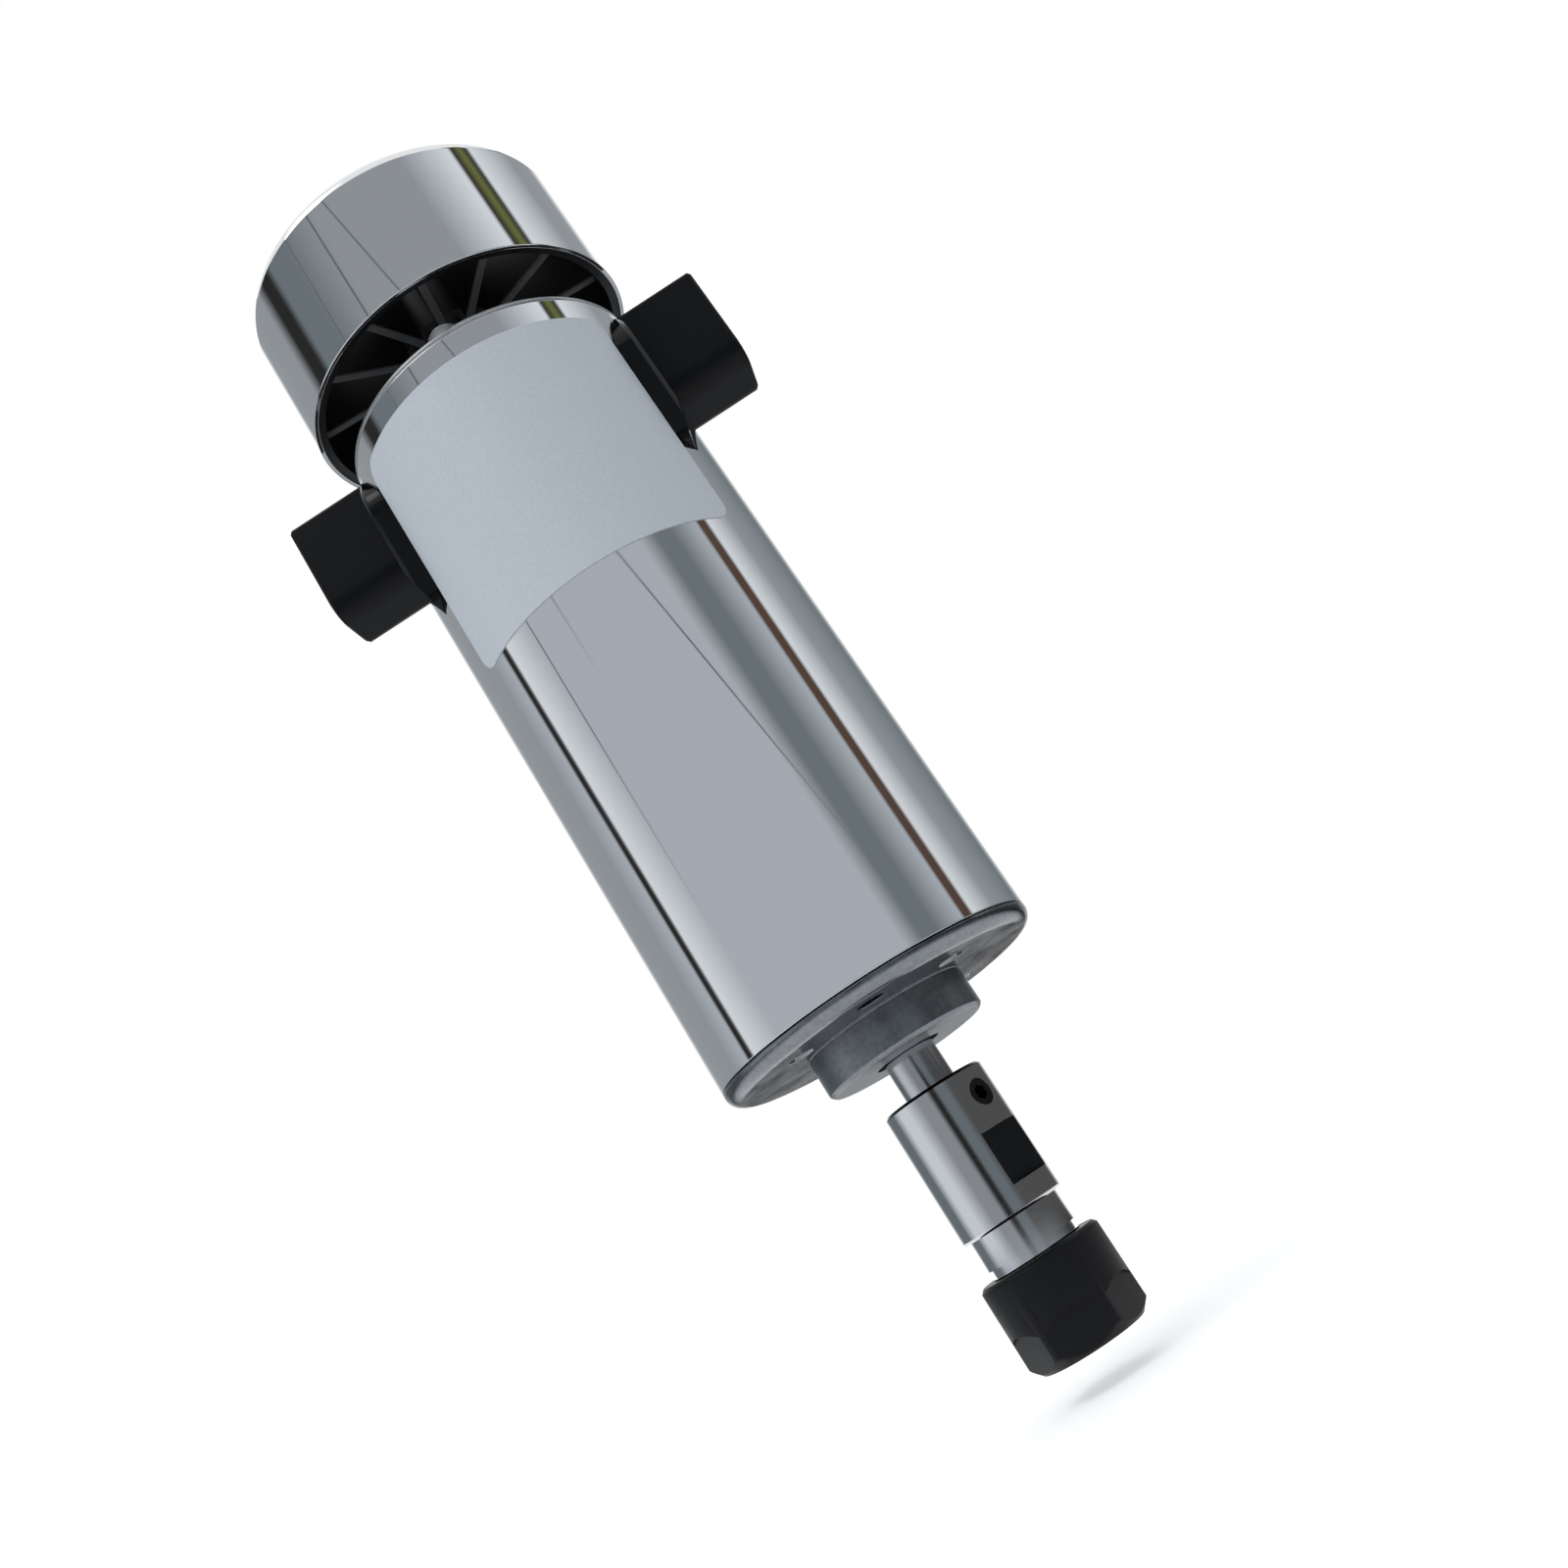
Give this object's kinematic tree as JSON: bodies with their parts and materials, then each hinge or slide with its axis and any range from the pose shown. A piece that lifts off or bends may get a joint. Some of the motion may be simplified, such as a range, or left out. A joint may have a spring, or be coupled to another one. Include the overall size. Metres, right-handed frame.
{
  "type": "motor spindle",
  "caption": "Air-cooled brushed motor spindle with a spring collet chuck at the front and a fan drum at the rear.",
  "frame": {"origin": "centre of the mounting hole circle on the front face of the front cap, on the spindle axis", "axes": "+Z along the spindle axis from the tool towards the fan; the two brush boxes lie on +X and -X"},
  "size_m": [0.079, 0.058, 0.207],
  "materials": {
    "polished_case": "polished",
    "turned_aluminium": "satin, turned",
    "zinc_steel": "zinc plated",
    "spring_steel": "plain",
    "ferrite": "matte",
    "bearing_steel": "ground",
    "seal_rubber": "matte",
    "ground_steel": "ground",
    "collet_steel": "ground",
    "black_steel": "black oxide, satin",
    "core_steel": "laminated",
    "fibre": "matte",
    "copper": "bare copper",
    "bakelite": "matte",
    "bright_steel": "turned, bright",
    "black_plastic": "moulded, matte",
    "brass": "plain",
    "carbon": "matte"
  },
  "bodies": {
    "motor": {"body_tube": "polished_case", "front_cap": "turned_aluminium", "rear_cap": "turned_aluminium", "rear_bearing_cup": "turned_aluminium", "tie_bolts": "zinc_steel", "field_magnets": "ferrite", "front_bearing_outer": "bearing_steel", "front_bearing_seals": "seal_rubber", "rear_bearing_outer": "bearing_steel", "rear_bearing_seals": "seal_rubber", "wave_washer": "spring_steel", "brush_holder_right": "black_plastic", "brush_guide_right": "brass", "brush_terminal_right": "brass", "brush_cap_right": "black_plastic", "brush_spring_right": "spring_steel", "brush_holder_left": "black_plastic", "brush_guide_left": "brass", "brush_terminal_left": "brass", "brush_cap_left": "black_plastic", "brush_spring_left": "spring_steel"},
    "rotor": {"motor_shaft": "ground_steel", "armature_core": "core_steel", "armature_fibre_front": "fibre", "armature_fibre_rear": "fibre", "winding": "copper", "commutator_hub": "bakelite", "commutator_bars": "copper", "front_bearing_inner": "bearing_steel", "rear_bearing_inner": "bearing_steel", "fan_bush": "bright_steel", "fan_hub": "black_plastic", "fan_vanes": "black_plastic", "fan_ring": "black_plastic", "fan_shell": "polished_case", "fan_washer": "zinc_steel", "fan_screw": "zinc_steel", "chuck_rod": "ground_steel", "grub_screws": "black_steel"},
    "collet": {"collet": "collet_steel"},
    "nut": {"collet_nut": "black_steel"},
    "brush_right": {"carbon_brush_right": "carbon"},
    "brush_left": {"carbon_brush_left": "carbon"}
  },
  "joints": [
    {"name": "rotor_spin", "type": "hinge", "parent": "motor", "child": "rotor", "pos_m": [0, 0, 0], "axis": [0, 0, 1], "continuous": true},
    {"name": "collet_release", "type": "slide", "parent": "rotor", "child": "collet", "axis": [0, 0, -1], "range_m": [0, 0.0045]},
    {"name": "nut_turn", "type": "hinge", "parent": "collet", "child": "nut", "pos_m": [0, 0, -0.0455], "axis": [0, 0, -1], "range_deg": [0, 2160]},
    {"name": "brush_slide_right", "type": "slide", "parent": "motor", "child": "brush_right", "axis": [1, 0, 0], "range_m": [0, 0.004], "stiffness_N_per_m": 200, "springref_m": -0.01, "deforming": ["brush_spring_right"]},
    {"name": "brush_slide_left", "type": "slide", "parent": "motor", "child": "brush_left", "axis": [-1, 0, 0], "range_m": [0, 0.004], "stiffness_N_per_m": 200, "springref_m": -0.01, "deforming": ["brush_spring_left"]}
  ],
  "couplings": [
    {"joint": "nut_turn", "follows": "collet_release", "rad_per_m": 8377.5}
  ]
}
